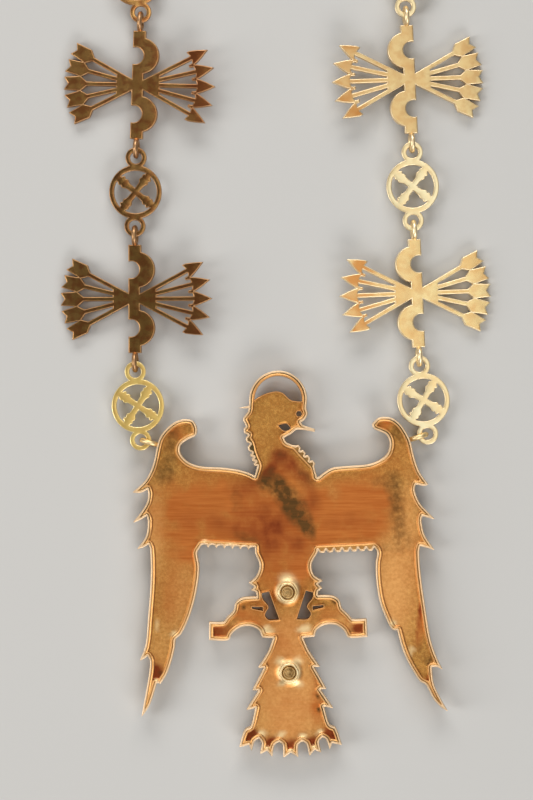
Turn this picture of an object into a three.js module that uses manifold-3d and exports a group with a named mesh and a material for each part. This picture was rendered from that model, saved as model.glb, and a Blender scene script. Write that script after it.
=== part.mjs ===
// Order collar, laid flat on its front so that its back is up. Millimetres, +Z up.
// X and Y are zero in the middle of its footprint, and Z is zero on the surface that it lies on.
import * as THREE from 'three';
import { mergeVertices } from 'three/addons/utils/BufferGeometryUtils.js';
import Module from 'manifold-3d';

const wasm = await Module();
wasm.setup();

// Chain
const yokeLinkCount = 13;
const clearance = 0.3;
const flatness = 0.06;

// Wire loops, soldered on the yoke ends and on the eagle's wings
const loopWire = 1.3;
const loopOuter = 3.0;
const loopSunk = 0.46;
const loopSides = 10;
const wireSides = 5;

// Yoke link: a yoke with five bound arrows across it
const yokeHeight = 30.4;
const yokeTabWidth = 3.6;
const yokeTabShift = 0;
const bulgeRadius = 5.1;
const bulgeForward = 0.6;
const bulgeUp = 8.2;
const biteRadius = 2.4;
const biteForward = -1.1;
const bulgeSteps = 5;
const biteSteps = 3;
const neckForward = 1.5;
const yokeLinkThickness = 2.0;
const arrowCount = 5;
const arrowSpread = 14;
const arrowReach = 21.9;
const shaftWidth = 1.2;
const barbLap = 0.07;

// Round link: a rim with two crossed knotted clubs and a ring at each end
const rimRadius = 7.6;
const rimOval = 0.95;
const rimWidth = 1.45;
const rimSides = 12;
const endRingReach = 9.6;
const endRingHole = 1.65;
const endRingBar = 1.3;
const endRingSides = 10;
const roundLinkThickness = 1.4;
const clubHalfWidth = 0.65;
const clubFlare = 0.62;
const clubLeans = [53, -38];

// Ring centre to loop centre where two links meet
const ringLap = 2.71;

// Eagle
const eagleTurn = 1.2;
const eagleLow = 2.2;
const eagleThickness = 4.0;
const trayDepth = 1.4;
const trayRim = 1.2;
const gapRim = 0.8;
const wingReach = 43.0;
const wingDrop = 76.3;
const toothDepth = 0.8;
const torsoHalf = 10.0;
const headRise = 12.0;
const bodyDrop = 44.0;
const haloRadius = 8.15;
const haloWidth = 1.5;
const haloLeft = 1.45;
const haloSides = 24;
const yokeBarReach = 22.2;
const yokeBarTop = 43.0;
const yokeBarHeight = 12.0;
const tailHalf = 14.4;
const tailTop = 54.5;
const tailLength = 33.8;
const wingLoopShare = 0.821;
const wingLoopLean = 17;
const breastHalf = 6.4;
const breastLength = 36.0;
const breastDrop = 20.0;

// Studs and nuts
const studRadius = 1.75;
const studHeadRadius = 2.6;
const studHead = 1.0;
const studProud = 0.8;
const dimpleRadius = 0.9;
const dimpleDepth = 0.5;
const nutFlats = 5.3;
const nutHeight = 2.2;
const studSides = 12;
const studDrops = [41.9, 64.4];

// Route of the chain: ring centres read off the strands that show, then the hidden arch as shares of
// its half width and of its rise above the strands. The eagle's own loops give the two ends.
const leftStrand = [[-41.2, 19.2], [-41.3, 60.0], [-41.0, 79.3], [-39.7, 120.7]];
const rightStrand = [[34.7, 122.0], [36.6, 80.2], [36.9, 61.1], [38.6, 21.2]];
const strandTop = 121.0;
const archHalf = 88.0;
const archMiddle = -2.0;
const leftArch = [[-0.54, 0.2], [-0.83, 0.42], [-0.98, 0.66], [-0.78, 0.89]];
const archTop = [0, 1];
const eaglePlace = [0.64, -0.42];

// Half outline of an arrow, fletching to head: share of the reach, share of the flare
const arrowSide = [[-0.963, 0.83], [-0.745, 1.03], [-0.685, 0], [0.753, 0], [0.737, 1.0]];
const arrowTip = 1.0;
const fletchNotch = -0.909;

// Half outline of a club, from the crossing out: share of the rim's radius, share of the flare
const clubSide = [[0.36, 0], [0.62, 0.95], [0.92, -0.3]];

// Outlines of the eagle. Marks: tip is a point outside the rim, teeth is a run of small feather ends
// that goes to the next row, with their number.
// Wings: share of the reach, share of the drop
const rightWing = [
  [0.09, -0.15],
  [0.219, -0.129], [0.261, -0.111], [0.31, -0.097], [0.405, -0.092], [0.539, -0.087],
  [0.614, -0.073], [0.667, -0.05], [0.688, -0.013], [0.67, 0.018], [0.625, 0.033],
  [0.586, 0.043, 'tip'], [0.575, 0.061, 'tip'], [0.613, 0.082, 'tip'], [0.666, 0.086],
  [0.717, 0.078], [0.762, 0.057], [0.8, 0.024], [0.825, -0.008], [0.846, -0.063], [0.879, -0.119],
  [0.933, -0.165, 'tip'], [0.904, -0.17, 'tip'], [0.852, -0.164, 'tip'], [0.844, -0.184],
  [0.875, -0.232], [0.926, -0.266, 'tip'], [0.973, -0.294, 'tip'], [0.932, -0.288, 'tip'],
  [0.89, -0.28, 'tip'], [0.884, -0.298], [0.903, -0.35], [0.966, -0.407, 'tip'],
  [0.928, -0.4, 'tip'], [0.873, -0.39, 'tip'], [0.865, -0.412], [0.872, -0.496], [0.905, -0.651],
  [0.928, -0.736], [0.965, -0.802, 'tip'], [1.002, -0.847, 'tip'], [0.963, -0.835, 'tip'],
  [0.931, -0.835], [0.942, -0.897, 'tip'], [0.985, -0.953, 'tip'], [1.032, -1.001, 'tip'],
  [0.978, -0.98, 'tip'], [0.933, -0.949, 'tip'], [0.889, -0.9, 'tip'], [0.851, -0.887],
  [0.807, -0.848], [0.763, -0.8], [0.732, -0.748], [0.711, -0.698, 'tip'], [0.676, -0.694],
  [0.638, -0.652], [0.601, -0.592], [0.581, -0.511], [0.581, -0.445], [0.592, -0.411, 'tip'],
  [0.57, -0.392, 'teeth', 7], [0.205, -0.397],
  [0.09, -0.4],
];
const leftWing = [
  [0.09, -0.15],
  [0.182, -0.126], [0.228, -0.111], [0.305, -0.097], [0.409, -0.088], [0.52, -0.084],
  [0.591, -0.075], [0.642, -0.058], [0.677, -0.03], [0.673, -0.001], [0.627, 0.019, 'tip'],
  [0.574, 0.034, 'tip'], [0.566, 0.06, 'tip'], [0.591, 0.086, 'tip'], [0.65, 0.093], [0.715, 0.082],
  [0.775, 0.055], [0.812, 0.026], [0.829, -0.003], [0.851, -0.058], [0.878, -0.098],
  [0.919, -0.134, 'tip'], [0.998, -0.172, 'tip'], [0.946, -0.174, 'tip'], [0.897, -0.162, 'tip'],
  [0.891, -0.178], [0.902, -0.208], [0.942, -0.244, 'tip'], [1.003, -0.285, 'tip'],
  [0.95, -0.273, 'tip'], [0.907, -0.259, 'tip'], [0.898, -0.277], [0.913, -0.332],
  [0.977, -0.382, 'tip'], [0.934, -0.374, 'tip'], [0.898, -0.364, 'tip'], [0.887, -0.38],
  [0.888, -0.494], [0.912, -0.641], [0.931, -0.732], [0.971, -0.79, 'tip'], [0.943, -0.782, 'tip'],
  [0.92, -0.773, 'tip'], [0.904, -0.791], [0.913, -0.842], [0.945, -0.934, 'tip'],
  [0.968, -0.998, 'tip'], [0.914, -0.956, 'tip'], [0.882, -0.909, 'tip'], [0.862, -0.872, 'tip'],
  [0.839, -0.876], [0.795, -0.84], [0.761, -0.789], [0.739, -0.742, 'tip'], [0.732, -0.712],
  [0.699, -0.696], [0.651, -0.647], [0.606, -0.574], [0.577, -0.498], [0.569, -0.446],
  [0.581, -0.399, 'tip'], [0.563, -0.379, 'teeth', 7], [0.196, -0.394],
  [0.09, -0.4],
];
// Neck, head and body: share of the half width, then height as a share of the head's rise above
// the wing loops, or of the body's drop below them. The left side is the picture's.
const torsoOutline = [
  [-0.2, -1.14], [-0.86, -0.99], [-0.87, -0.952], [-1.02, -0.936, 'tip'], [-0.92, -0.915, 'tip'],
  [-1.08, -0.889, 'tip'], [-0.87, -0.848], [-0.76, -0.777], [-0.88, -0.7], [-0.86, -0.214],
  [-0.76, -0.145, 'teeth', 3], [-0.9, -0.06, 'teeth', 3], [-1.06, 0.4], [-1.14, 0.575, 'tip'],
  [-1.0, 0.74], [-0.97, 0.81, 'tip'], [-1.29, 0.825, 'tip'], [-0.97, 0.87, 'tip'], [-0.95, 1.0],
  [0.62, 1.0], [0.64, 0.78], [0.68, 0.67], [0.58, 0.52], [0.48, 0.475], [0.53, 0.4, 'tip'],
  [0.87, 0.3, 'tip'], [0.86, 0.23, 'tip'], [0.5, 0.29, 'tip'], [0.34, 0.29], [0.2, 0.2],
  [0.0, 0.115], [0.07, 0.0], [0.31, -0.022, 'teeth', 4], [0.83, -0.155], [0.88, -0.2],
  [0.9, -0.22], [0.88, -0.7], [0.7, -0.777], [0.76, -0.848], [1.0, -0.884, 'tip'],
  [0.86, -0.905, 'tip'], [0.99, -0.932, 'tip'], [0.87, -0.95], [0.86, -0.99],
  [0.2, -1.14],
];
// Yoke in the talons, right half: share of the reach, share of the height below its top
const yokeBarOutline = [
  [0, 0.02], [0.36, 0], [0.4, 0.0], [0.567, 0.017], [0.655, 0.12], [0.685, 0.31], [0.775, 0.48],
  [0.815, 0.575], [0.995, 0.57], [1.0, 0.99], [0.757, 1.0], [0.703, 0.835], [0.6, 0.7],
  [0.47, 0.69], [0.37, 0.785], [0.33, 0.96], [0.2, 0.98], [0, 0.98],
];
// Tail, right half: share of the half width, share of the length
const tailOutline = [
  [0, -0.12], [0.27, -0.12], [0.285, 0.0], [0.4, 0.118], [0.604, 0.251, 'tip'], [0.485, 0.25],
  [0.722, 0.435, 'tip'], [0.6, 0.438], [0.847, 0.598, 'tip'], [0.667, 0.58], [0.77, 0.734],
  [0.885, 0.76], [1.0, 0.905, 'tip'], [0.812, 0.885, 'tip'], [0.757, 0.938, 'tip'],
  [0.694, 0.855, 'tip'], [0.618, 0.834], [0.556, 0.873, 'tip'], [0.6, 0.964, 'tip'],
  [0.462, 0.938, 'tip'], [0.361, 0.991, 'tip'], [0.306, 0.888, 'tip'], [0.222, 0.867],
  [0.153, 0.891, 'tip'], [0.146, 1.0, 'tip'], [0, 0.956, 'tip'],
];
// Gap under a talon, and the slit beside it, as shares of the yoke bar's reach and height
const talonGap = [
  [0.324, -0.07], [0.234, -0.108], [0.113, 0.542], [0.248, 0.542], [0.288, 0.417], [0.239, 0.25],
  [0.315, 0.05],
];
const talonSlit = [[0.315, 0.25], [0.45, 0.233], [0.45, 0.275], [0.315, 0.333]];
// Crown of the head, below the halo, and the gap of the beak: shares of the half width and rise
const crownLine = [
  [-0.775, 1.033], [-0.52, 1.142], [-0.19, 1.2], [0.0, 1.15], [0.2, 0.992], [0.46, 0.95],
];
const beakGap = [[-0.15, 0.4], [0.07, 0.433], [0.19, 0.325], [0.065, 0.27], [-0.05, 0.3]];
const eyeHole = { out: 0.43, up: 0.66, radius: 0.8, sides: 6 };

const gilt = { color: 0xd9b266, roughness: 0.35, metalness: 1.0 };
const eagleGilt = { color: 0xc98343, roughness: 0.5, metalness: 1.0 };
const brass = { color: 0xc9a25c, roughness: 0.45, metalness: 1.0 };

// Sizes that follow from the ones above
const loopMiddle = loopOuter - loopWire / 2;
const loopHole = loopOuter - loopWire;
const endRingOuter = endRingHole + endRingBar;
const yokeLoopReach = yokeHeight / 2 + loopOuter - loopSunk;
const yokeLinkReach = yokeLoopReach + ringLap;
const barFromLoop = Math.max(ringLap - endRingHole, endRingOuter - ringLap);
const holeHalfHeight = Math.sqrt(loopHole ** 2 - barFromLoop ** 2);
const roundLinkLow = loopOuter - holeHalfHeight + clearance;
const barbReach = arrowSide[arrowSide.length - 1][0] * arrowReach;
const barbHalf = barbReach * Math.tan(THREE.MathUtils.degToRad(arrowSpread / 2)) + barbLap;
const arrowFlare = barbHalf - shaftWidth / 2;
const fletchReach = -arrowSide[0][0] * arrowReach;
const yokeLinkLean = -leanToFloor(fletchReach, yokeLinkThickness / 2, loopOuter);
const wingLoopOut = wingLoopShare * wingReach;
const trayFloor = eagleLow + eagleThickness - trayDepth;
const eagleTop = eagleLow + eagleThickness;
const studHoleRadius = studRadius + clearance;

// Turn that brings a point at reach and depth below the pivot down to the floor
function leanToFloor(reach, depth, pivotHeight) {
  return Math.asin(pivotHeight / Math.hypot(reach, depth)) - Math.atan2(depth, reach);
}

function solidOf(geometry) {
  geometry.deleteAttribute('normal');
  geometry.deleteAttribute('uv');
  const merged = mergeVertices(geometry, 1e-4);
  const mesh = new wasm.Mesh({
    numProp: 3,
    vertProperties: new Float32Array(merged.attributes.position.array),
    triVerts: new Uint32Array(merged.index.array),
  });
  return new wasm.Manifold(mesh);
}

function meshOf(name, solid, finish) {
  const { vertProperties, triVerts } = solid.asOriginal().simplify(flatness).getMesh();
  const geometry = new THREE.BufferGeometry();
  geometry.setAttribute('position', new THREE.BufferAttribute(vertProperties, 3));
  geometry.setIndex(new THREE.BufferAttribute(triVerts, 1));
  geometry.computeVertexNormals();
  const mesh = new THREE.Mesh(geometry, new THREE.MeshStandardMaterial(finish));
  mesh.name = name;
  return mesh;
}

// Plate with the outline given as [x, y] points, from low to high
function plate(points, low, high) {
  const shape = new THREE.Shape(points.map(([x, y]) => new THREE.Vector2(x, y)));
  const geometry = new THREE.ExtrudeGeometry(shape, { depth: high - low, bevelEnabled: false });
  geometry.translate(0, 0, low);
  return solidOf(geometry);
}

function arc(x, y, radius, from, to, steps) {
  const points = [];
  for (let i = 0; i <= steps; i += 1) {
    const angle = THREE.MathUtils.degToRad(from + (to - from) * i / steps);
    points.push([x + radius * Math.cos(angle), y + radius * Math.sin(angle)]);
  }
  return points;
}

function disc(x, y, radius, sides) {
  return arc(x, y, radius, 0, 360 * (1 - 1 / sides), sides - 1);
}

function turned(points, degrees) {
  const angle = THREE.MathUtils.degToRad(degrees);
  const [c, s] = [Math.cos(angle), Math.sin(angle)];
  return points.map(([x, y]) => [x * c - y * s, x * s + y * c]);
}

function mirrored(points) {
  return points.map(([x, y, ...mark]) => [-x, y, ...mark]);
}

// Point that lies a rim's width inside the corner between two edges of a counterclockwise outline
function insetCorner(before, point, after, width) {
  const into = new THREE.Vector2(point[0] - before[0], point[1] - before[1]).normalize();
  const out = new THREE.Vector2(after[0] - point[0], after[1] - point[1]).normalize();
  const share = width / Math.max(1 + into.dot(out), 0.4);
  return [point[0] - (into.y + out.y) * share, point[1] + (into.x + out.x) * share];
}

function inset(points, width) {
  const vectors = points.map(([x, y]) => new THREE.Vector2(x, y));
  const loop = THREE.ShapeUtils.area(vectors) > 0 ? points : [...points].reverse();
  const n = loop.length;
  return loop.map((point, i) => insetCorner(loop[(i + n - 1) % n], point, loop[(i + 1) % n], width));
}

// Small feather ends along an edge, standing out on its left side
function teeth(from, to, count) {
  const along = new THREE.Vector2(to[0] - from[0], to[1] - from[1]);
  const length = along.length();
  const out = new THREE.Vector2(-along.y, along.x).multiplyScalar(toothDepth / length);
  const points = [];
  for (let i = 0; i < count; i += 1) {
    for (const [share, proud] of [[0, 0], [0.2, 1], [0.8, 1]]) {
      const t = (i + share) / count;
      points.push([from[0] + along.x * t + out.x * proud, from[1] + along.y * t + out.y * proud]);
    }
  }
  return points;
}

// Outline with its feather ends, from rows of [x, y, mark, count]
function outerLine(rows) {
  return rows.flatMap((row, i) => {
    const [x, y, mark, count] = row;
    return mark === 'teeth' ? teeth([x, y], rows[(i + 1) % rows.length], count) : [[x, y]];
  });
}

function rimLine(rows) {
  return rows.filter(([, , mark]) => mark !== 'tip').map(([x, y]) => [x, y]);
}

function wireLoop() {
  const section = disc(loopMiddle, 0, loopWire / 2, wireSides).map(([x, y]) => new THREE.Vector2(x, y));
  const loop = new THREE.LatheGeometry([...section, section[0]], loopSides, Math.PI / loopSides);
  return solidOf(loop);
}

// Yoke seen from the back, with the bulges towards +X and the loops at its two ends
function yoke() {
  const end = yokeHeight / 2;
  const front = yokeTabShift + yokeTabWidth / 2;
  const back = yokeTabShift - yokeTabWidth / 2;
  const toDegrees = THREE.MathUtils.radToDeg;
  const bulgeStart = toDegrees(Math.acos((front - bulgeForward) / bulgeRadius));
  const bulgeEnd = toDegrees(Math.acos((neckForward - bulgeForward) / bulgeRadius));
  const bite = toDegrees(Math.acos((back - biteForward) / biteRadius));
  const upper = [
    ...arc(bulgeForward, bulgeUp, bulgeRadius, -bulgeEnd, bulgeStart, bulgeSteps),
    [front, end],
    [back, end],
    ...arc(biteForward, bulgeUp, biteRadius, bite, -bite, biteSteps),
  ];
  const lower = upper.map(([x, y]) => [x, -y]).reverse();
  return plate([...upper, ...lower], -yokeLinkThickness / 2, yokeLinkThickness / 2);
}

function arrow(degrees) {
  const side = arrowSide.map(([along, out]) => [along * arrowReach, shaftWidth / 2 + out * arrowFlare]);
  const points = [
    ...side,
    [arrowTip * arrowReach, 0],
    ...side.map(([x, y]) => [x, -y]).reverse(),
    [fletchNotch * arrowReach, 0],
  ];
  return plate(turned(points, degrees), -yokeLinkThickness / 2, yokeLinkThickness / 2);
}

function yokeLink() {
  let link = yoke();
  for (let i = 0; i < arrowCount; i += 1) {
    link = link.add(arrow((i - (arrowCount - 1) / 2) * arrowSpread));
  }
  const loop = wireLoop().rotate([0, 0, 90]);
  link = link.add(loop.translate([0, yokeLoopReach, 0]));
  return link.add(loop.translate([0, -yokeLoopReach, 0]));
}

function club(degrees) {
  const side = clubSide.map(([along, out]) => [along * rimRadius, clubHalfWidth + out * clubFlare]);
  const half = [...side.map(([x, y]) => [x, -y]), ...side.reverse()];
  const points = [...half, ...half.map(([x, y]) => [-x, -y])];
  return plate(turned(points, degrees), 0, roundLinkThickness);
}

function roundLink() {
  const height = roundLinkThickness;
  const oval = [rimOval, 1, 1];
  const rim = plate(disc(0, 0, rimRadius, rimSides), 0, height).scale(oval);
  const window = plate(disc(0, 0, rimRadius - rimWidth, rimSides), -1, height + 1).scale(oval);
  let link = rim.subtract(window);
  for (const lean of clubLeans) {
    link = link.add(club(lean));
  }
  for (const side of [-1, 1]) {
    const turn = 180 / endRingSides;
    const outer = turned(disc(0, 0, endRingOuter, endRingSides), turn);
    const hole = turned(disc(0, 0, endRingHole, endRingSides), turn);
    const place = [0, side * endRingReach, 0];
    link = link.add(plate(outer, 0, height).translate(place));
    link = link.subtract(plate(hole, -1, height + 1).translate(place));
  }
  return link;
}

function wingRows(outline) {
  return outline.map(([out, up, ...mark]) => [out * wingReach, up * wingDrop, ...mark]);
}

function torsoRows() {
  return torsoOutline.map(([out, up, ...mark]) => {
    return [out * torsoHalf, up * (up > 0 ? headRise : bodyDrop), ...mark];
  });
}

function yokeBarPoint([out, down]) {
  return [out * yokeBarReach, -yokeBarTop - down * yokeBarHeight];
}

function tailRows() {
  return tailOutline.map(([out, down, ...mark]) => {
    return [out * tailHalf, -tailTop - down * tailLength, ...mark];
  });
}

function headPoint([out, up]) {
  return [out * torsoHalf, up * headRise];
}

// Both halves of an outline whose right half starts and ends on the middle line
function bothHalves(rows) {
  return [...rows, ...mirrored(rows.slice(1, -1)).reverse()];
}

// Outlines of the gaps that the plate is pierced with
function gapOutlines() {
  const inner = haloRadius - haloWidth;
  const crescent = [...crownLine.map(headPoint), ...arc(-haloLeft, headRise, inner, -5, 180, 12)];
  const [gap, slit] = [talonGap.map(yokeBarPoint), talonSlit.map(yokeBarPoint)];
  const [eyeX, eyeY] = headPoint([eyeHole.out, eyeHole.up]);
  return [
    crescent,
    gap,
    mirrored(gap),
    slit,
    mirrored(slit),
    beakGap.map(headPoint),
    disc(eyeX, eyeY, eyeHole.radius, eyeHole.sides),
  ];
}

function eaglePlate() {
  const bar = bothHalves(yokeBarOutline.map(yokeBarPoint));
  const tail = bothHalves(tailRows());
  const halo = disc(-haloLeft, headRise, haloRadius, haloSides);
  const outlines = [wingRows(rightWing), mirrored(wingRows(leftWing)), torsoRows(), tail];
  let body = plate(bar, eagleLow, eagleTop).add(plate(halo, eagleLow, eagleTop));
  let tray = plate(inset(bar, trayRim), trayFloor, eagleTop + 1);
  tray = tray.add(plate(disc(-haloLeft, headRise, haloRadius - haloWidth, haloSides), trayFloor, eagleTop + 1));
  for (const rows of outlines) {
    body = body.add(plate(outerLine(rows), eagleLow, eagleTop));
    tray = tray.add(plate(inset(rimLine(rows), trayRim), trayFloor, eagleTop + 1));
  }
  for (const gap of gapOutlines()) {
    tray = tray.subtract(plate(inset(gap, -gapRim), trayFloor - 1, eagleTop + 2));
  }
  return body.subtract(tray);
}

function eagleGaps() {
  const [low, high] = [eagleLow - 1, eagleTop + 1];
  const holes = studDrops.map((drop) => disc(0, -drop, studHoleRadius, studSides));
  const [first, ...rest] = [...gapOutlines(), ...holes];
  return rest.reduce((gaps, points) => gaps.add(plate(points, low, high)), plate(first, low, high));
}

// Raised breast on the front, which the collar lies on
function breast() {
  const round = arc(0, 0, 1, 0, 330, 11);
  const points = round.map(([x, y]) => [x * breastHalf, y * breastLength / 2 - breastDrop]);
  return plate(points, 0, eagleLow + clearance);
}

function eagle() {
  let body = eaglePlate().subtract(eagleGaps()).add(breast());
  for (const side of [-1, 1]) {
    const loop = wireLoop().translate([side * (loopOuter - loopSunk), 0, loopOuter]);
    const leant = loop.rotate([0, 0, side * wingLoopLean]);
    body = body.add(leant.translate([side * wingLoopOut, 0, 0]));
  }
  return body;
}

function stud() {
  const headTop = eagleLow - clearance;
  const top = trayFloor + clearance + nutHeight + studProud;
  const profile = [
    [0, headTop - studHead], [studHeadRadius, headTop - studHead], [studHeadRadius, headTop],
    [studRadius, headTop], [studRadius, top], [dimpleRadius, top], [0, top - dimpleDepth],
  ];
  const lathe = new THREE.LatheGeometry(profile.map(([x, y]) => new THREE.Vector2(x, y)), studSides);
  return solidOf(lathe.rotateX(Math.PI / 2));
}

function nut() {
  const corner = nutFlats / Math.sqrt(3);
  const low = trayFloor + clearance;
  const body = plate(turned(disc(0, 0, corner, 6), 30), low, low + nutHeight);
  return body.subtract(plate(disc(0, 0, studHoleRadius, studSides), low - 1, low + nutHeight + 1));
}

// Curve through the ring centres, from the left wing up, over and down to the right wing
function routeCurve(rise, leftEnd, rightEnd) {
  const arch = [...leftArch, archTop, ...mirrored([...leftArch].reverse())];
  const points = [
    leftEnd,
    ...leftStrand,
    ...arch.map(([x, y]) => [archMiddle + x * archHalf, strandTop + y * rise]),
    ...rightStrand,
    rightEnd,
  ];
  return new THREE.CatmullRomCurve3(points.map(([x, y]) => new THREE.Vector3(x, y, 0)));
}

// Place on the curve, past the one given, that is a link's length away in a straight line
function stepAlong(curve, start, length) {
  const from = curve.getPoint(start);
  let [near, far] = [start, start + 2.5 / curve.points.length];
  for (let i = 0; i < 40; i += 1) {
    const middle = (near + far) / 2;
    const reached = curve.getPoint(Math.min(middle, 1)).distanceTo(from) > length;
    [near, far] = reached ? [near, middle] : [middle, far];
  }
  return Math.min(near, 1);
}

function linkLengths() {
  const lengths = [2 * endRingReach];
  for (let i = 0; i < yokeLinkCount; i += 1) {
    lengths.push(2 * yokeLinkReach, 2 * endRingReach);
  }
  return lengths;
}

function walk(curve) {
  const places = [0];
  for (const length of linkLengths()) {
    places.push(stepAlong(curve, places[places.length - 1], length));
  }
  return places;
}

// Ring centres on the route whose arch rises just so far that the chain closes at the right wing
function ringCentres(leftEnd, rightEnd) {
  let [low, high] = [0, yokeLinkCount * (yokeLinkReach + endRingReach)];
  for (let i = 0; i < 40; i += 1) {
    const rise = (low + high) / 2;
    const reached = walk(routeCurve(rise, leftEnd, rightEnd)).pop() >= 1;
    [low, high] = reached ? [rise, high] : [low, rise];
  }
  const curve = routeCurve(low, leftEnd, rightEnd);
  return walk(curve).map((place) => curve.getPoint(place));
}

// A link between two ring centres, its top end towards the second
function placed(mesh, from, to, height, lean) {
  const seat = new THREE.Group();
  seat.position.set((from.x + to.x) / 2, (from.y + to.y) / 2, height);
  seat.rotation.z = Math.atan2(to.y - from.y, to.x - from.x) - Math.PI / 2;
  mesh.rotation.y = lean;
  seat.add(mesh);
  return seat;
}

function wingRing(side) {
  const [leant] = turned([[side * (loopOuter - loopSunk + ringLap), 0]], side * wingLoopLean);
  const [[x, y]] = turned([[leant[0] + side * wingLoopOut, leant[1]]], eagleTurn);
  return [x + eaglePlace[0], y + eaglePlace[1]];
}

function chain() {
  const group = new THREE.Group();
  const centres = ringCentres(wingRing(-1), wingRing(1));
  const [yokeSolid, roundSolid] = [yokeLink(), roundLink()];
  for (let i = 0; i < centres.length - 1; i += 1) {
    const [from, to] = [centres[i], centres[i + 1]];
    const number = Math.floor(i / 2) + 1;
    if (i % 2 === 0) {
      const link = meshOf(`round_link_${number}`, roundSolid, gilt);
      group.add(placed(link, from, to, roundLinkLow, 0));
    } else {
      const link = meshOf(`arrow_link_${number}`, yokeSolid, gilt);
      group.add(placed(link, from, to, loopOuter, yokeLinkLean));
    }
  }
  return group;
}

function pendant() {
  const group = new THREE.Group();
  group.add(meshOf('eagle', eagle(), eagleGilt));
  for (const [i, name] of ['upper', 'lower'].entries()) {
    const post = meshOf(`stud_${name}`, stud(), brass);
    const hexagon = meshOf(`nut_${name}`, nut(), brass);
    post.position.y = -studDrops[i];
    hexagon.position.y = -studDrops[i];
    group.add(post, hexagon);
  }
  group.position.set(eaglePlace[0], eaglePlace[1], 0);
  group.rotation.z = THREE.MathUtils.degToRad(eagleTurn);
  return group;
}

const collar = new THREE.Group();
collar.add(chain(), pendant());
collar.updateMatrixWorld(true);
const middle = new THREE.Box3().setFromObject(collar, true).getCenter(new THREE.Vector3());
collar.position.set(-middle.x, -middle.y, 0);

export default collar;
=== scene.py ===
import math

import bmesh
import bpy
import numpy as np
from mathutils import Matrix, Vector, noise
from mathutils.geometry import delaunay_2d_cdt


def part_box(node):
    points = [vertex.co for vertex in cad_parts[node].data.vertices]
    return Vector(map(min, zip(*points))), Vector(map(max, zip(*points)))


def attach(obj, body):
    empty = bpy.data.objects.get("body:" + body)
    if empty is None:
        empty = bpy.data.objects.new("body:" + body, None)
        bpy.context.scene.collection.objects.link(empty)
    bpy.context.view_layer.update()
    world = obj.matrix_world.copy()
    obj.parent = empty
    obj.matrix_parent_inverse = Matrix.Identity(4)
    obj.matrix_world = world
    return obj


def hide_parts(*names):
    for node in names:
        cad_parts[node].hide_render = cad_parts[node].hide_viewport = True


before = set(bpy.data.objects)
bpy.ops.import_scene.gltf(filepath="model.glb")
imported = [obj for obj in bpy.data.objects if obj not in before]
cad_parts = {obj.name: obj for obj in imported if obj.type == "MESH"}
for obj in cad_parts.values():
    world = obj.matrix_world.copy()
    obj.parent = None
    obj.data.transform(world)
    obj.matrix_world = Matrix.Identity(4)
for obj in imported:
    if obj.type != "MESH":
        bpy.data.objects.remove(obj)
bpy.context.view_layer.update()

mm = 0.001

# The strands that show are the first and the last links of the chain
yokeLinks = 13
roundLinks = 14


def turned(points, degrees):
    c, s = math.cos(math.radians(degrees)), math.sin(math.radians(degrees))
    return [(x * c - y * s, x * s + y * c) for x, y in points]


def arcPoints(x, y, radiusX, radiusY, start, end, steps):
    angles = [math.radians(start + (end - start) * i / steps) for i in range(steps + 1)]
    return [(x + radiusX * math.cos(a), y + radiusY * math.sin(a)) for a in angles]


# From 0 at the start to 1 at the end
def ramp(value, start, end):
    return np.clip((value - start) / (end - start), 0, 1)


# Distance to one closed outline, positive inside it
def insideDistance(points, xs, ys):
    nearest = np.full(xs.shape, 1e9)
    inside = np.zeros(xs.shape, bool)
    for (ax, ay), (bx, by) in zip(points, points[1:] + points[:1]):
        dx, dy = bx - ax, by - ay
        along = np.clip(((xs - ax) * dx + (ys - ay) * dy) / (dx * dx + dy * dy + 1e-12), 0, 1)
        nearest = np.minimum(nearest, (xs - ax - along * dx) ** 2 + (ys - ay - along * dy) ** 2)
        if dy:
            crossing = ((ay > ys) != (by > ys)) & (xs < dx * (ys - ay) / dy + ax)
            inside ^= crossing
    return np.where(inside, 1.0, -1.0) * np.sqrt(nearest)


# A flat shape as a field of distances: solids joined, holes taken out
class Plan:
    def __init__(self, low, high, step):
        self.low, self.step = low, step
        self.count = [int(math.ceil((high[k] - low[k]) / step)) + 1 for k in (0, 1)]
        xs = low[0] + np.arange(self.count[0]) * step
        ys = low[1] + np.arange(self.count[1]) * step
        self.xs, self.ys = np.meshgrid(xs, ys, indexing="ij")
        self.field = np.full(self.xs.shape, -1e3)

    def join(self, points):
        self.field = np.maximum(self.field, insideDistance(points, self.xs, self.ys))

    def cut(self, points):
        self.field = np.minimum(self.field, -insideDistance(points, self.xs, self.ys))

    # Value of the field at any place
    def at(self, x, y):
        fx = np.clip((np.asarray(x) - self.low[0]) / self.step, 0, self.count[0] - 1.001)
        fy = np.clip((np.asarray(y) - self.low[1]) / self.step, 0, self.count[1] - 1.001)
        i, j = fx.astype(int), fy.astype(int)
        u, v = fx - i, fy - j
        f = self.field
        return (f[i, j] * (1 - u) * (1 - v) + f[i + 1, j] * u * (1 - v)
                + f[i, j + 1] * (1 - u) * v + f[i + 1, j + 1] * u * v)

    # Closed lines along which the field has one value
    def lines(self, level, tolerance):
        f = self.field - level
        above = f > 0
        links = {}
        code = (above[:-1, :-1] * 1 + above[1:, :-1] * 2 + above[1:, 1:] * 4 + above[:-1, 1:] * 8)
        for i, j in zip(*np.nonzero((code > 0) & (code < 15))):
            for start, end in cellPieces(int(code[i, j]), i, j):
                links[start] = end
        places = {key: self.crossing(f, key) for key in links}
        loops = []
        while links:
            start, key = links.popitem()
            loop = [places[start]]
            while key != start:
                loop.append(places[key])
                key = links.pop(key)
            if len(loop) > 4:
                loops.append(thinned(loop, tolerance))
        return [loop for loop in loops if len(loop) > 2]

    def crossing(self, f, key):
        side, i, j = key
        a = f[i, j]
        b = f[i + 1, j] if side == "x" else f[i, j + 1]
        t = a / (a - b) * self.step
        x, y = self.low[0] + i * self.step, self.low[1] + j * self.step
        return (x + t, y) if side == "x" else (x, y + t)


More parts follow.
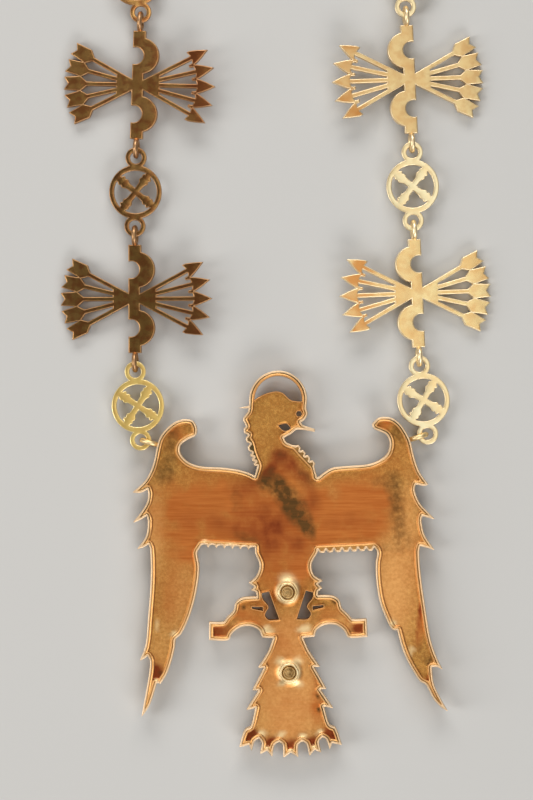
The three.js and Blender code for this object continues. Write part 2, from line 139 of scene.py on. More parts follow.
# Pieces of line through one cell of the grid, with the inside on their left
def cellPieces(code, i, j):
    bottom, top, left, right = ("x", i, j), ("x", i, j + 1), ("y", i, j), ("y", i + 1, j)
    turns = {
        1: [(bottom, left)], 2: [(right, bottom)], 3: [(right, left)], 4: [(top, right)],
        5: [(bottom, left), (top, right)], 6: [(top, bottom)], 7: [(top, left)],
        8: [(left, top)], 9: [(bottom, top)], 10: [(right, bottom), (left, top)],
        11: [(right, top)], 12: [(left, right)], 13: [(bottom, right)], 14: [(left, bottom)],
    }
    return turns[code]


# Leaves out the points of a closed line that lie within the tolerance of a straight stretch
def thinned(loop, tolerance):
    kept = [loop[0]]
    start = 0
    for end in range(2, len(loop) + 1):
        a, b = loop[start], loop[end % len(loop)]
        dx, dy = b[0] - a[0], b[1] - a[1]
        length = math.hypot(dx, dy) or 1e-9
        off = max(abs((p[0] - a[0]) * dy - (p[1] - a[1]) * dx) / length for p in loop[start + 1:end])
        if off > tolerance or length > 1.6:
            start = end - 1
            kept.append(loop[start])
    return kept


# Curved line through the corners of a polygon, sharp only where it turns by more than the limit
def smoothed(points, limit, spacing):
    n = len(points)
    vectors = [Vector(p) for p in points]
    result = []
    tangents = []
    for k in range(n):
        before, here, after = vectors[k - 1], vectors[k], vectors[(k + 1) % n]
        a, b = here - before, after - here
        turn = abs(a.angle_signed(b, 0))
        wide = (after - before) / max(a.length + b.length, 1e-9)
        tangents.append((wide, wide) if turn < math.radians(limit) else (a.normalized(), b.normalized()))
    for k in range(n):
        p, q = vectors[k], vectors[(k + 1) % n]
        length = (q - p).length
        m, w = tangents[k][1] * length, tangents[(k + 1) % n][0] * length
        steps = max(1, int(length / spacing))
        for i in range(steps):
            t = i / steps
            point = (p * (2 * t ** 3 - 3 * t * t + 1) + m * (t ** 3 - 2 * t * t + t)
                     + q * (3 * t * t - 2 * t ** 3) + w * (t ** 3 - t * t))
            result.append((point.x, point.y))
    return result


# Top surface over a plan: triangles between closed lines, at the heights that the function gives.
# The lines lie inside one another, so one triangulation keeps them all as edges.
def surfaceOver(plan, lines, heightAt, inner=()):
    points, edges = [], []
    for loop in lines:
        first = len(points)
        points += [Vector(p) for p in loop]
        edges += [(first + k, first + (k + 1) % len(loop)) for k in range(len(loop))]
    points += [Vector(p) for p in inner]
    verts, _, faces, _, _, _ = delaunay_2d_cdt(points, edges, [], 0, 1e-5)
    middles = np.array([sum((verts[k] for k in face), Vector((0, 0))) / 3 for face in faces])
    inside = plan.at(middles[:, 0], middles[:, 1]) > 0
    heights = heightAt(np.array([v.x for v in verts]), np.array([v.y for v in verts]))
    bm = bmesh.new()
    for v, z in zip(verts, heights):
        bm.verts.new((v.x, v.y, z))
    bm.verts.ensure_lookup_table()
    for face, keep in zip(faces, inside):
        if keep:
            bm.faces.new([bm.verts[k] for k in face])
    bmesh.ops.delete(bm, geom=[v for v in bm.verts if not v.link_faces], context="VERTS")
    return bm


# Top surface whose height follows the distance from the edge
def reliefTop(plan, profile, tolerance):
    depths, heights = zip(*profile)
    lines = [loop for depth in depths for loop in plan.lines(max(depth, 0.004), tolerance)]
    return surfaceOver(plan, lines, lambda x, y: np.interp(plan.at(x, y), depths, heights))


# Closes a top surface with upright walls and a flat underside
def closeBelow(bm, bottom):
    rim = [e for e in bm.edges if len(e.link_faces) == 1]
    made = bmesh.ops.extrude_edge_only(bm, edges=rim)["geom"]
    lower = {v for v in made if isinstance(v, bmesh.types.BMVert)}
    for v in lower:
        v.co.z = bottom
    rim = [e for e in made if isinstance(e, bmesh.types.BMEdge) and all(v in lower for v in e.verts)]
    bmesh.ops.triangle_fill(bm, use_beauty=True, use_dissolve=False, edges=rim)
    bmesh.ops.recalc_face_normals(bm, faces=bm.faces)


# Closes a top surface with upright walls and its own mirror image below
def mirrorBelow(bm, middle):
    rim = [e for e in bm.edges if len(e.link_faces) == 1]
    surface = bm.verts[:] + bm.edges[:] + bm.faces[:]
    copied = bmesh.ops.duplicate(bm, geom=surface)["geom"]
    made = bmesh.ops.extrude_edge_only(bm, edges=rim)["geom"]
    for v in copied + made:
        if isinstance(v, bmesh.types.BMVert):
            v.co.z = 2 * middle - v.co.z
    bmesh.ops.remove_doubles(bm, verts=bm.verts, dist=1e-4)
    bmesh.ops.recalc_face_normals(bm, faces=bm.faces)


# One object at the origin: smooth, with edges sharp past 38 degrees, or past 8 where a level face ends
def finished(name, bm, material, place=Matrix.Identity(4)):
    bm.normal_update()
    for face in bm.faces:
        face.smooth = True
    for e in bm.edges:
        level = any(abs(f.normal.z) > 0.9995 for f in e.link_faces)
        e.smooth = e.calc_face_angle(0) < math.radians(8 if level else 38)
    mesh = bpy.data.meshes.new(name)
    bm.to_mesh(mesh)
    bm.free()
    mesh.transform(Matrix.Scale(mm, 4) @ place)
    mesh.materials.append(material)
    obj = bpy.data.objects.new(name, mesh)
    bpy.context.collection.objects.link(obj)
    return obj


# A colour written as sRGB hex, as the linear one that shaders take
def linear(hexColour):
    channels = [int(hexColour[k:k + 2], 16) / 255 for k in (0, 2, 4)]
    return [c / 12.92 if c <= 0.04045 else ((c + 0.055) / 1.055) ** 2.4 for c in channels] + [1.0]


# A node with its own settings and its inputs' values, where a socket is linked instead
def addNode(tree, kind, values=None, **settings):
    node = tree.nodes.new(kind)
    for key, value in settings.items():
        setattr(node, key, value)
    for key, value in (values or {}).items():
        if isinstance(value, bpy.types.NodeSocket):
            tree.links.new(value, node.inputs[key])
        else:
            node.inputs[key].default_value = value
    return node


def newMaterial(name):
    material = bpy.data.materials.new(name)
    material.use_nodes = True
    tree = material.node_tree
    shader = tree.nodes["Principled BSDF"]
    place = addNode(tree, "ShaderNodeTexCoord").outputs["Object"]
    return material, tree, shader, place


# Clouds of a size in millimetres, turned to a value between their low and high stops
def clouds(tree, place, size, low, high, detail):
    settings = {"Vector": place, "Scale": 1000 / size, "Detail": detail}
    noisy = addNode(tree, "ShaderNodeTexNoise", settings).outputs["Fac"]
    stops = addNode(tree, "ShaderNodeMapRange", {"Value": noisy, "From Min": low, "From Max": high})
    return stops.outputs["Result"]


# Lays coats of colour over one another, each with a value, the share of it that shows and its colour
def coated(tree, colour, coats):
    for value, share, over in coats:
        amount = addNode(tree, "ShaderNodeMath", {0: value, 1: share}, operation="MULTIPLY").outputs[0]
        mixed = addNode(tree, "ShaderNodeMix", {0: amount, 6: colour, 7: over}, data_type="RGBA")
        colour = mixed.outputs[2]
    return colour


# A painted value with its edge broken up by clouds
def broken(tree, value, cloud, low, high):
    lifted = addNode(tree, "ShaderNodeMath", {0: cloud, 1: 0.5}, operation="ADD").outputs[0]
    mixed = addNode(tree, "ShaderNodeMath", {0: value, 1: lifted}, operation="MULTIPLY").outputs[0]
    stops = addNode(tree, "ShaderNodeMapRange", {"Value": mixed, "From Min": low, "From Max": high})
    return stops.outputs["Result"]


# Gilt brass: a satin shine with tarnish in soft clouds, redder on the arrow heads, bright along the edges,
# partly rubbed and partly painted highlight
def giltMaterial(name, bright, tarnish, warm, edgeColour, roughness, mottle):
    material, tree, shader, place = newMaterial(name)
    broad = clouds(tree, place, 6.7, 0.35, 0.7, 2.0)
    spots = clouds(tree, place, 1.9, 0.44, 0.6, 3.0)
    fine = clouds(tree, place, 0.42, 0.4, 0.7, 2.0)
    edge = addNode(tree, "ShaderNodeAttribute", attribute_name="edge").outputs["Fac"]
    heads = addNode(tree, "ShaderNodeAttribute", attribute_name="warm").outputs["Fac"]
    lifted = addNode(tree, "ShaderNodeMath", {0: broad, 1: 0.2}, operation="ADD").outputs[0]
    redder = addNode(tree, "ShaderNodeMath", {0: heads, 1: lifted}, operation="MULTIPLY").outputs[0]
    colour = coated(tree, linear(bright), [
        (broad, 0.7, linear(tarnish)),
        (spots, mottle, linear(warm)),
        (fine, mottle * 0.6, linear(tarnish)),
        (redder, 1, linear(warm)),
        (edge, 1, linear(edgeColour)),
    ])
    tree.links.new(colour, shader.inputs["Base Color"])
    shader.inputs["Metallic"].default_value = 1.0
    rough = addNode(tree, "ShaderNodeMapRange", {"Value": edge, "To Min": roughness, "To Max": 0.42})
    tree.links.new(rough.outputs["Result"], shader.inputs["Roughness"])
    # casting skin: 1.2 grains to a millimetre, coarser than the real one so that it shows
    noisy = {"Vector": place, "Scale": 1.2 / mm, "Detail": 2.0}
    grain = addNode(tree, "ShaderNodeTexNoise", noisy).outputs["Fac"]
    bump = addNode(tree, "ShaderNodeBump", {"Height": grain, "Strength": 0.06, "Distance": 0.02 * mm})
    tree.links.new(bump.outputs["Normal"], shader.inputs["Normal"])
    return material


# Sheens of the eagle's back: two colours for each, which clouds mix
eagleShades = {
    "gold": ("d09a50", "b47b3a"),  # old gilding
    "pale": ("ebb26d", "dc9d5a"),  # gilding that kept its shine, and painted light where the lights leave the back dim
    "worn": ("c47639", "b2622c"),  # copper-coloured brass where the gilding is rubbed off
    "red": ("a05028", "7e3a1e"),  # rust-red patina in pockets
    "stain": ("5a4023", "6c4a27"),  # black-brown patina
    "groove": ("c8985c", "a9773f"),  # between the ridge and the lip
    "groove_shade": ("4f4229", "655435"),  # painted shade in that groove, where the flange turns away from the lights
}
eaglePaint = ("worn", "red", "stain", "pale", "groove_shade", "lip", "edge", "groove", "solder_and_glint")


# Matt gilt brass of the eagle's back: a soft glow without reflections, rubbed to copper colour in the
# middle of the wings and the breast, with old patina, painted highlight on the lips, ridges and solder,
# painted shade in the grooves and painted light where the back lies dim
def eagleMaterial():
    material, tree, shader, place = newMaterial("eagle_gilt")
    wide = clouds(tree, place, 16.7, 0.42, 0.7, 3.0)
    broad = clouds(tree, place, 5.9, 0.3, 0.7, 6.0)
    middle = clouds(tree, place, 1.54, 0.36, 0.64, 4.0)
    fine = clouds(tree, place, 0.77, 0.3, 0.7, 3.0)
    speckle = clouds(tree, place, 0.31, 0.42, 0.62, 2.0)
    # brushed along x: marks 9 mm long and half a millimetre wide
    stretched = addNode(tree, "ShaderNodeMapping", {"Vector": place, "Scale": (1.0, 17.0, 1.0)})
    streaks = clouds(tree, stretched.outputs["Vector"], 9.0, 0.35, 0.7, 3.0)
    paint = {name: addNode(tree, "ShaderNodeAttribute", attribute_name=name).outputs["Fac"]
             for name in eaglePaint}

    def shade(name, cloud):
        first, second = [linear(hexColour) for hexColour in eagleShades[name]]
        return coated(tree, first, [(cloud, 1, second)])

    worn = broken(tree, paint["worn"], broad, 0.08, 0.85)
    red = broken(tree, paint["red"], broad, 0.06, 0.75)
    part = addNode(tree, "ShaderNodeMath", {0: broad, 1: 0.35}, operation="MULTIPLY").outputs[0]
    ragged = addNode(tree, "ShaderNodeMath", {0: middle, 1: 0.55, 2: part},
                     operation="MULTIPLY_ADD").outputs[0]
    stain = broken(tree, paint["stain"], ragged, 0.12, 0.9)
    # painted shade in the groove, its edge broken up by clouds
    dark = broken(tree, paint["groove_shade"], broad, 0.1, 0.8)
    colour = coated(tree, shade("gold", fine), [
        (speckle, 0.4, linear("7d6233")),
        (middle, 0.3, linear("9c6430")),
        # pale gilding, partly painted light
        (paint["pale"], 0.9, shade("pale", fine)),
        (wide, 0.45, shade("worn", fine)),
        (worn, 1, shade("worn", streaks)),
        (red, 1, shade("red", broad)),
        (stain, 1, shade("stain", streaks)),
        (paint["groove"], 1, coated(tree, shade("groove", broad), [(dark, 1, shade("groove_shade", fine))])),
        # bright lip, solder and edge lines: partly rubbed brass, partly painted highlight along the ridges
        (paint["lip"], 1, linear("e8b070")),
        (paint["solder_and_glint"], 1, linear("f4d8a2")),
        (paint["edge"], 1, linear("e6c69e")),
    ])
    tree.links.new(colour, shader.inputs["Base Color"])
    shader.inputs["Metallic"].default_value = 1.0
    bright = addNode(tree, "ShaderNodeMath", {0: paint["lip"], 1: paint["solder_and_glint"]},
                     operation="MAXIMUM").outputs[0]
    rough = addNode(tree, "ShaderNodeMapRange", {"Value": bright, "To Min": 0.5, "To Max": 0.46})
    tree.links.new(rough.outputs["Result"], shader.inputs["Roughness"])
    # casting skin: 1.5 grains to a millimetre, coarser than the real one so that it shows
    noisy = {"Vector": place, "Scale": 1.5 / mm, "Detail": 4.0}
    grain = addNode(tree, "ShaderNodeTexNoise", noisy).outputs["Fac"]
    skin = addNode(tree, "ShaderNodeMath", {0: streaks, 1: 0.3, 2: grain}, operation="MULTIPLY_ADD").outputs[0]
    bump = addNode(tree, "ShaderNodeBump", {"Height": skin, "Strength": 0.2, "Distance": 0.1 * mm})
    tree.links.new(bump.outputs["Normal"], shader.inputs["Normal"])
    return material


yokeSettings = {
    "height": 30.4,
    "thickness": 2.0,
    "middle": 3.0,  # height of the loops' centres
    "arrowReach": 21.9,
    "shaft": 0.62,
    "flare": 1.45,
    "spread": 14,
    "bulgeRadius": 5.1,
    "bulgeForward": 0.6,
    "bulgeUp": 8.2,
    "biteRadius": 2.4,
    "biteForward": -1.1,
    "tabHalf": 1.8,
    "block": 6.2,  # the shafts are one block as far out as this
    "strip": [(0.747, 0.6), (0.715, 0.5)],  # wavy strip behind the heads: share of the reach, radius
    # half of an arrow, feathers first: share of the reach, share of the flare
    "arrow": [(-0.963, 0.83), (-0.8, 0.97), (-0.745, 1.05), (-0.665, 0), (0.76, 0), (0.737, 1.0),
              (0.79, 0.93), (0.88, 0.42)],
    "notch": -0.909,  # share of the reach where the feathers are notched
    "warmHeads": (9, 15),  # the heads redden from here to here
    "lean": 5.45,  # degrees that each link is tipped about its length
    "step": 0.15,  # grid of the distance field
}


def yokeOutline(s):
    end, tab, up = s["height"] / 2, s["tabHalf"], s["bulgeUp"]
    bulge = math.degrees(math.acos((tab - s["bulgeForward"]) / s["bulgeRadius"]))
    bite = math.degrees(math.acos((-tab - s["biteForward"]) / s["biteRadius"]))
    upper = arcPoints(s["bulgeForward"], up, s["bulgeRadius"], s["bulgeRadius"], -80, bulge, 26)
    upper += [(tab, end), (-tab, end)]
    upper += arcPoints(s["biteForward"], up, s["biteRadius"], s["biteRadius"], bite, -bite, 22)
    return upper + [(x, -y) for x, y in reversed(upper)]


def arrowOutline(s, degrees):
    reach, shaft, flare = s["arrowReach"], s["shaft"], s["flare"]
    side = [(along * reach, shaft + out * flare) for along, out in s["arrow"]]
    points = side + [(reach, 0)] + [(x, -y) for x, y in reversed(side)] + [(s["notch"] * reach, 0)]
    return turned(points, degrees)


# Both sides of a link, flat with a rounded edge; "edge", a rubbed edge with a painted highlight, is painted
# along it and "warm" over the arrow heads
def linkPlate(plan, thickness):
    top = thickness / 2
    bm = reliefTop(plan, [(0, top - 0.26), (0.05, top - 0.09), (0.14, top - 0.02), (0.3, top)], 0.012)
    edge, warm = [bm.verts.layers.float.new(name) for name in ("edge", "warm")]
    for v in bm.verts:
        v[edge] = ramp(plan.at(v.co.x, v.co.y), 0.3, 0.16)
        v[warm] = ramp(v.co.x, *yokeSettings["warmHeads"])
    mirrorBelow(bm, 0)
    return bm


def yokeLinkMesh():
    s = yokeSettings
    wide, high = s["arrowReach"] + 0.7, s["height"] / 2 + 0.8
    plan = Plan((-wide, -high), (wide, high), s["step"])
    plan.join(yokeOutline(s))
    for k in range(-2, 3):
        plan.join(arrowOutline(s, k * s["spread"]))
    lean = math.tan(math.radians(2 * s["spread"]))
    for side in (-1, 1):
        out = side * s["block"]
        half = s["block"] * lean + s["shaft"]
        plan.join([(0, -s["shaft"]), (out, -half), (out, half), (0, s["shaft"])])
    for between in (-1.5, -0.5, 0.5, 1.5):
        for out, radius in s["strip"]:
            x, y = turned([(out * s["arrowReach"], 0)], between * s["spread"])[0]
            plan.join(arcPoints(x, y, radius, radius, 0, 330, 11))
    bm = linkPlate(plan, s["thickness"])
    upright = Matrix.Rotation(math.pi / 2, 4, "Y")
    for side in (-1, 1):
        # the wire loops take the bright edge colour, a painted highlight
        for v in addLoop(bm, Matrix.Translation((0, side * loopSettings["reach"], 0)) @ upright):
            v[bm.verts.layers.float["edge"]] = 1
    return bm


loopSettings = {"radius": 2.3, "wire": 0.7, "reach": 17.74, "root": 2.54}


# Wire ring lying in the XY plane of the place given
def addLoop(bm, place):
    s = loopSettings
    upright = Matrix.Translation((s["radius"], 0, 0)) @ Matrix.Rotation(math.pi / 2, 4, "X")
    wire = bmesh.ops.create_circle(bm, segments=14, radius=s["wire"], matrix=upright)["verts"]
    edges = list({e for v in wire for e in v.link_edges})
    swept = bmesh.ops.spin(bm, geom=wire + edges, cent=(0, 0, 0), axis=(0, 0, 1), dvec=(0, 0, 0),
                           angle=2 * math.pi, steps=40, use_merge=True, use_duplicate=False)
    last = [g for g in swept["geom_last"] if isinstance(g, bmesh.types.BMVert)]
    island = connected(last or wire)
    bmesh.ops.transform(bm, matrix=place, verts=list(island))
    bmesh.ops.recalc_face_normals(bm, faces=list({f for v in island for f in v.link_faces}))
    return island


# All vertices of the pieces of mesh that hold these
def connected(verts):
    found, waiting = set(verts), list(verts)
    while waiting:
        for e in waiting.pop().link_edges:
            for v in e.verts:
                if v not in found:
                    found.add(v)
                    waiting.append(v)
    return found


roundSettings = {
    "thickness": 1.4,
    "bottom": 1.97,
    "rimHalfWidth": 7.4,
    "rimHalfHeight": 7.6,
    "rimBar": 1.62,
    "ringReach": 9.6,
    "ringHole": 1.65,
    "ringOuter": 3.0,
    "clubLeans": (53, -38),
    "clubUpper": [(0, 0.85), (2.5, 0.87), (3.0, 1.05), (3.4, 1.4), (3.9, 1.45), (4.4, 1.15),
                  (4.8, 1.35), (5.2, 1.35), (5.6, 1.0), (6.4, 0.9)],
    "clubLower": [(6.4, -0.9), (5.6, -1.0), (5.3, -1.5), (4.8, -1.55), (4.4, -1.15), (4.0, -1.4),
                  (3.5, -1.4), (3.1, -1.05), (2.4, -0.87), (0, -0.85)],
    "step": 0.12,  # grid of the distance field
}


# Knotted club, whose knots stand out further on one side
def clubOutline(degrees):
    half = roundSettings["clubUpper"] + roundSettings["clubLower"]
    return turned(half + [(-x, -y) for x, y in half], degrees)


def roundLinkMesh():
    s = roundSettings
    reach = s["ringReach"] + s["ringOuter"] + 0.3
    plan = Plan((-s["rimHalfWidth"] - 0.4, -reach), (s["rimHalfWidth"] + 0.4, reach), s["step"])
    plan.join(arcPoints(0, 0, s["rimHalfWidth"], s["rimHalfHeight"], 0, 354, 59))
    innerWidth = s["rimHalfWidth"] - s["rimBar"] * 0.88  # the rim is narrower at its sides
    plan.cut(arcPoints(0, 0, innerWidth, s["rimHalfHeight"] - s["rimBar"], 0, 354, 59))
    for lean in s["clubLeans"]:
        plan.join(clubOutline(lean))
    for side in (-1, 1):
        y = side * s["ringReach"]
        plan.join(arcPoints(0, y, s["ringOuter"], s["ringOuter"], 0, 351, 39))
        plan.cut(arcPoints(0, y, s["ringHole"], s["ringHole"], 0, 351, 39))
    return linkPlate(plan, s["thickness"])


# Centre and direction of a round link, from its box and its two farthest corners
def roundPose(node):
    corners = np.array([v.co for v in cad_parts[node].data.vertices]) / mm
    middle = (corners.min(0) + corners.max(0)) / 2
    flat = corners[:, :2] - middle[:2]
    far = flat[np.argmax((flat ** 2).sum(1))]
    return Vector(middle), Vector((far[0], far[1])).normalized()


def seat(middle, direction, height):
    turn = math.atan2(direction.y, direction.x) - math.pi / 2
    return Matrix.Translation((middle.x, middle.y, height)) @ Matrix.Rotation(turn, 4, "Z")


def ringEnds(pose):
    middle, direction = pose
    flat = Vector((middle.x, middle.y))
    return [flat + direction * side * roundSettings["ringReach"] for side in (-1, 1)]


def placeChain(gilt, pale, special):
    roundBase, yokeBase = roundLinkMesh(), yokeLinkMesh()
    print("link meshes", len(roundBase.faces), len(yokeBase.faces))
    poses = [roundPose(f"round_link_{i + 1}") for i in range(roundLinks)]
    height = roundSettings["bottom"] + roundSettings["thickness"] / 2
    ends = []
    for i, (middle, direction) in enumerate(poses):
        # the ring nearer the start of the chain comes first
        last = i == roundLinks - 1
        other = poses[i - 1 if last else i + 1][0].xy
        pair = sorted(ringEnds((middle, direction)), key=lambda p: (p - other).length, reverse=not last)
        ends.append(pair)
        facing = (pair[1] - pair[0]).normalized()
        finish = special.get(f"round_link_{i + 1}", pale)
        obj = finished(f"link_round_{i + 1}", roundBase.copy(), finish, seat(middle, facing, height))
        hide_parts(f"round_link_{i + 1}")
        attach(obj, "root")
    for i in range(yokeLinks):
        start, end = ends[i][1], ends[i + 1][0]
        middle, direction = (start + end) / 2, (end - start).normalized()
        lean = Matrix.Rotation(-math.radians(yokeSettings["lean"]), 4, "Y")
        place = seat(middle, direction, yokeSettings["middle"]) @ lean
        finish = special.get(f"arrow_link_{i + 1}", gilt)
        obj = finished(f"link_arrow_{i + 1}", yokeBase.copy(), finish, place)
        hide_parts(f"arrow_link_{i + 1}")
        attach(obj, "root")
    roundBase.free()
    yokeBase.free()


eagleSettings = {
    "top": 6.2,
    "bottom": 2.2,
    "tray": 4.8,  # floor of the solid's tray
    "floor": 5.05,  # the same with its gilding and the dirt in it
    "flange": 1.12,  # width of the rim from the outline to the tray
    # the ridge: distance in from the outline, depth below the top
    "ridge": [(0, 0.3), (0.08, 0.13), (0.2, 0.08), (0.42, 0.1), (0.56, 0.2)],
    # the lip: distance out from the tray, depth below the top
    "lip": [(0, 0), (0.28, 0.03), (0.4, 0.14), (0.5, 0.2)],
    # the wall: distance into the tray, height above its floor
    "wall": [(0, 1.15), (0.1, 1.05), (0.16, 0.14), (0.3, 0.03), (0.6, 0)],
    # the lip round a gap: distance from the gap, depth below the top
    "gapLip": [(0, 0.3), (0.09, 0.06), (0.26, 0.06), (0.36, 1.05), (0.7, 6.2)],
    # the solder round a nut: distance from its middle, height
    "mound": [(0, 0.62), (2.9, 0.55), (3.3, 0.42), (3.8, 0.14), (4.4, 0)],
    "nutHole": 2.05,
    "nutDrop": 41.9,  # from the line between the wing loops to the upper nut
    "loopOut": 35.3,
    "loopLean": 17,
    "loopHeight": 3.0,
    # stretches with small feather ends: left, right, low, high
    "teeth": [(9, 26, -33.5, -29), (-26, -9, -33.5, -28.5), (-13, -7, -7.5, 1), (0, 10, -8, 1)],
    "corners": (62, 75),  # an outline and a gap are sharp where they turn by more than this
    "step": 0.22,  # grid of the distance field
    "cell": 0.9,  # grid of the tray's surface
}


# Closed outlines from a table of which corner follows which
def closedLoops(onward):
    loops = []
    while onward:
        start, key = onward.popitem()
        loop = [start]
        while key != start and key in onward:
            loop.append(key)
            key = onward.pop(key)
        loops.append([(v.co.x / mm, v.co.y / mm) for v in loop])
    return loops


# Outlines of the eagle's plate, read from the upper edges of its outer walls
def plateOutlines():
    bm = bmesh.new()
    bm.from_mesh(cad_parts["eagle"].data)
    bmesh.ops.remove_doubles(bm, verts=bm.verts, dist=2e-6)
    top, floor = eagleSettings["top"] * mm, eagleSettings["tray"] * mm
    onward = {}
    for e in bm.edges:
        if len(e.link_faces) != 2 or any(abs(v.co.z - top) > 2e-5 for v in e.verts):
            continue
        flat = [f for f in e.link_faces if f.normal.z > 0.9]
        wall = [f for f in e.link_faces if abs(f.normal.z) < 0.2]
        if len(flat) != 1 or len(wall) != 1:
            continue
        if abs(min(v.co.z for v in wall[0].verts) - floor) < 1e-5:
            continue
        for loop in flat[0].loops:
            if loop.edge == e:
                onward[loop.vert] = loop.link_loop_next.vert
    loops = closedLoops(onward)
    bm.free()
    return loops


def areaOf(points):
    pairs = zip(points, points[1:] + points[:1])
    return sum(a[0] * b[1] - b[0] * a[1] for a, b in pairs) / 2


# The eagle's own place, from its two nuts: the point between the wing loops, and the turn
def eagleSeat():
    boxes = [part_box(f"nut_{n}") for n in ("upper", "lower")]
    upper, lower = [sum((Vector(p) for p in box), Vector()) / 2 / mm for box in boxes]
    up = (upper - lower).to_2d().normalized()
    origin = upper.to_2d() + up * eagleSettings["nutDrop"]
    turn = math.atan2(up.y, up.x) - math.pi / 2
    return Matrix.Translation(origin.to_3d()) @ Matrix.Rotation(turn, 4, "Z"), upper.to_2d(), lower.to_2d()


# The outline with its small feather ends cut off at their roots
def withoutTeeth(loop, toLocal):
    kept = []
    for before, here, after in zip([loop[-1]] + loop, loop, loop[1:] + loop[:1]):
        x, y, _ = toLocal @ Vector((here[0], here[1], 0))
        turn = (Vector(here) - Vector(before)).cross(Vector(after) - Vector(here))
        inTeeth = any(a < x < b and c < y < d for a, b, c, d in eagleSettings["teeth"])
        if not (inTeeth and turn > 0):
            kept.append(here)
    return kept


# A profile's second value at these distances
def profiled(name, distances):
    return np.interp(distances, *zip(*eagleSettings[name]))


# Heights of the plate: a ridge along its edge, a groove, the bright lip and the tray inside it
class EagleRelief:
    def __init__(self, plate, nuts, toLocal):
        xs, ys = zip(*[p for loop in plate for p in loop])
        self.low, self.high = (min(xs) - 1, min(ys) - 1), (max(xs) + 1, max(ys) + 1)
        self.rim, self.gap, self.tray, self.plan = [
            Plan(self.low, self.high, eagleSettings["step"]) for _ in range(4)]
        self.gap.field += 2e3  # full everywhere, until the gaps are cut
        self.nuts = nuts
        outer, hole = eagleSettings["corners"]
        for loop in plate:
            if areaOf(loop) > 0:
                self.rim.join(smoothed(loop, outer, 0.5))
                self.tray.join(smoothed(withoutTeeth(loop, toLocal), outer, 0.5))
            else:
                self.gap.cut(smoothed(loop, hole, 0.5))
        self.tray.field -= eagleSettings["flange"]
        self.plan.field = np.minimum(self.rim.field, self.gap.field)
        bore = eagleSettings["nutHole"]
        for nut in nuts:
            self.plan.cut(arcPoints(nut.x, nut.y, bore, bore, 0, 350, 35))

    # Level lines where a profile bends
    def lines(self):
        bends = {name: [distance for distance, _ in eagleSettings[name][1:]]
                 for name in ("ridge", "lip", "wall", "gapLip", "mound")}
        across = [-distance for distance in reversed(bends["lip"])] + [0] + bends["wall"] + [1.4]  # out to in
        rows = [(self.plan, [0]), (self.rim, bends["ridge"]), (self.gap, bends["gapLip"]),
                (self.tray, across)]
        found = [loop for plan, levels in rows for level in levels
                 for loop in plan.lines(level or 0.004, 0.02)]
        for nut in self.nuts:
            found += [arcPoints(nut.x, nut.y, r, r, 0, 352.5, 47) for r in bends["mound"]]
        return found

    # Points of the tray's own surface, clear of the lines
    def inner(self):
        cell = eagleSettings["cell"]
        xs = np.arange(self.low[0], self.high[0], cell)
        ys = np.arange(self.low[1], self.high[1], cell)
        gx, gy = [g.ravel() for g in np.meshgrid(xs, ys)]
        keep = (self.plan.at(gx, gy) > 0.8) & (abs(self.tray.at(gx, gy) - 0.7) > 1.4)
        return list(zip(gx[keep], gy[keep]))

    def heights(self, x, y):
        top, tray = eagleSettings["top"], self.tray.at(x, y)
        ridge = top - profiled("ridge", self.rim.at(x, y))
        lip = top - profiled("lip", -tray)
        gapLip = top - profiled("gapLip", self.gap.at(x, y))
        # the beaten floor rolls in waves 9 mm and 3 mm long
        wave = np.array([noise.noise((a * 0.11, b * 0.11, 3)) + 0.4 * noise.noise((a * 0.33, b * 0.33, 8))
                         for a, b in zip(x, y)])
        floor = eagleSettings["floor"] + profiled("wall", tray) + 0.13 * wave * ramp(tray, 0.5, 1.5)
        level = np.where(tray > 0, floor, np.maximum(ridge, lip))
        for nut in self.nuts:
            mound = profiled("mound", np.hypot(x - nut.x, y - nut.y))
            level = level + mound * (1 + 0.5 * wave)
        return np.maximum(level, gapLip)


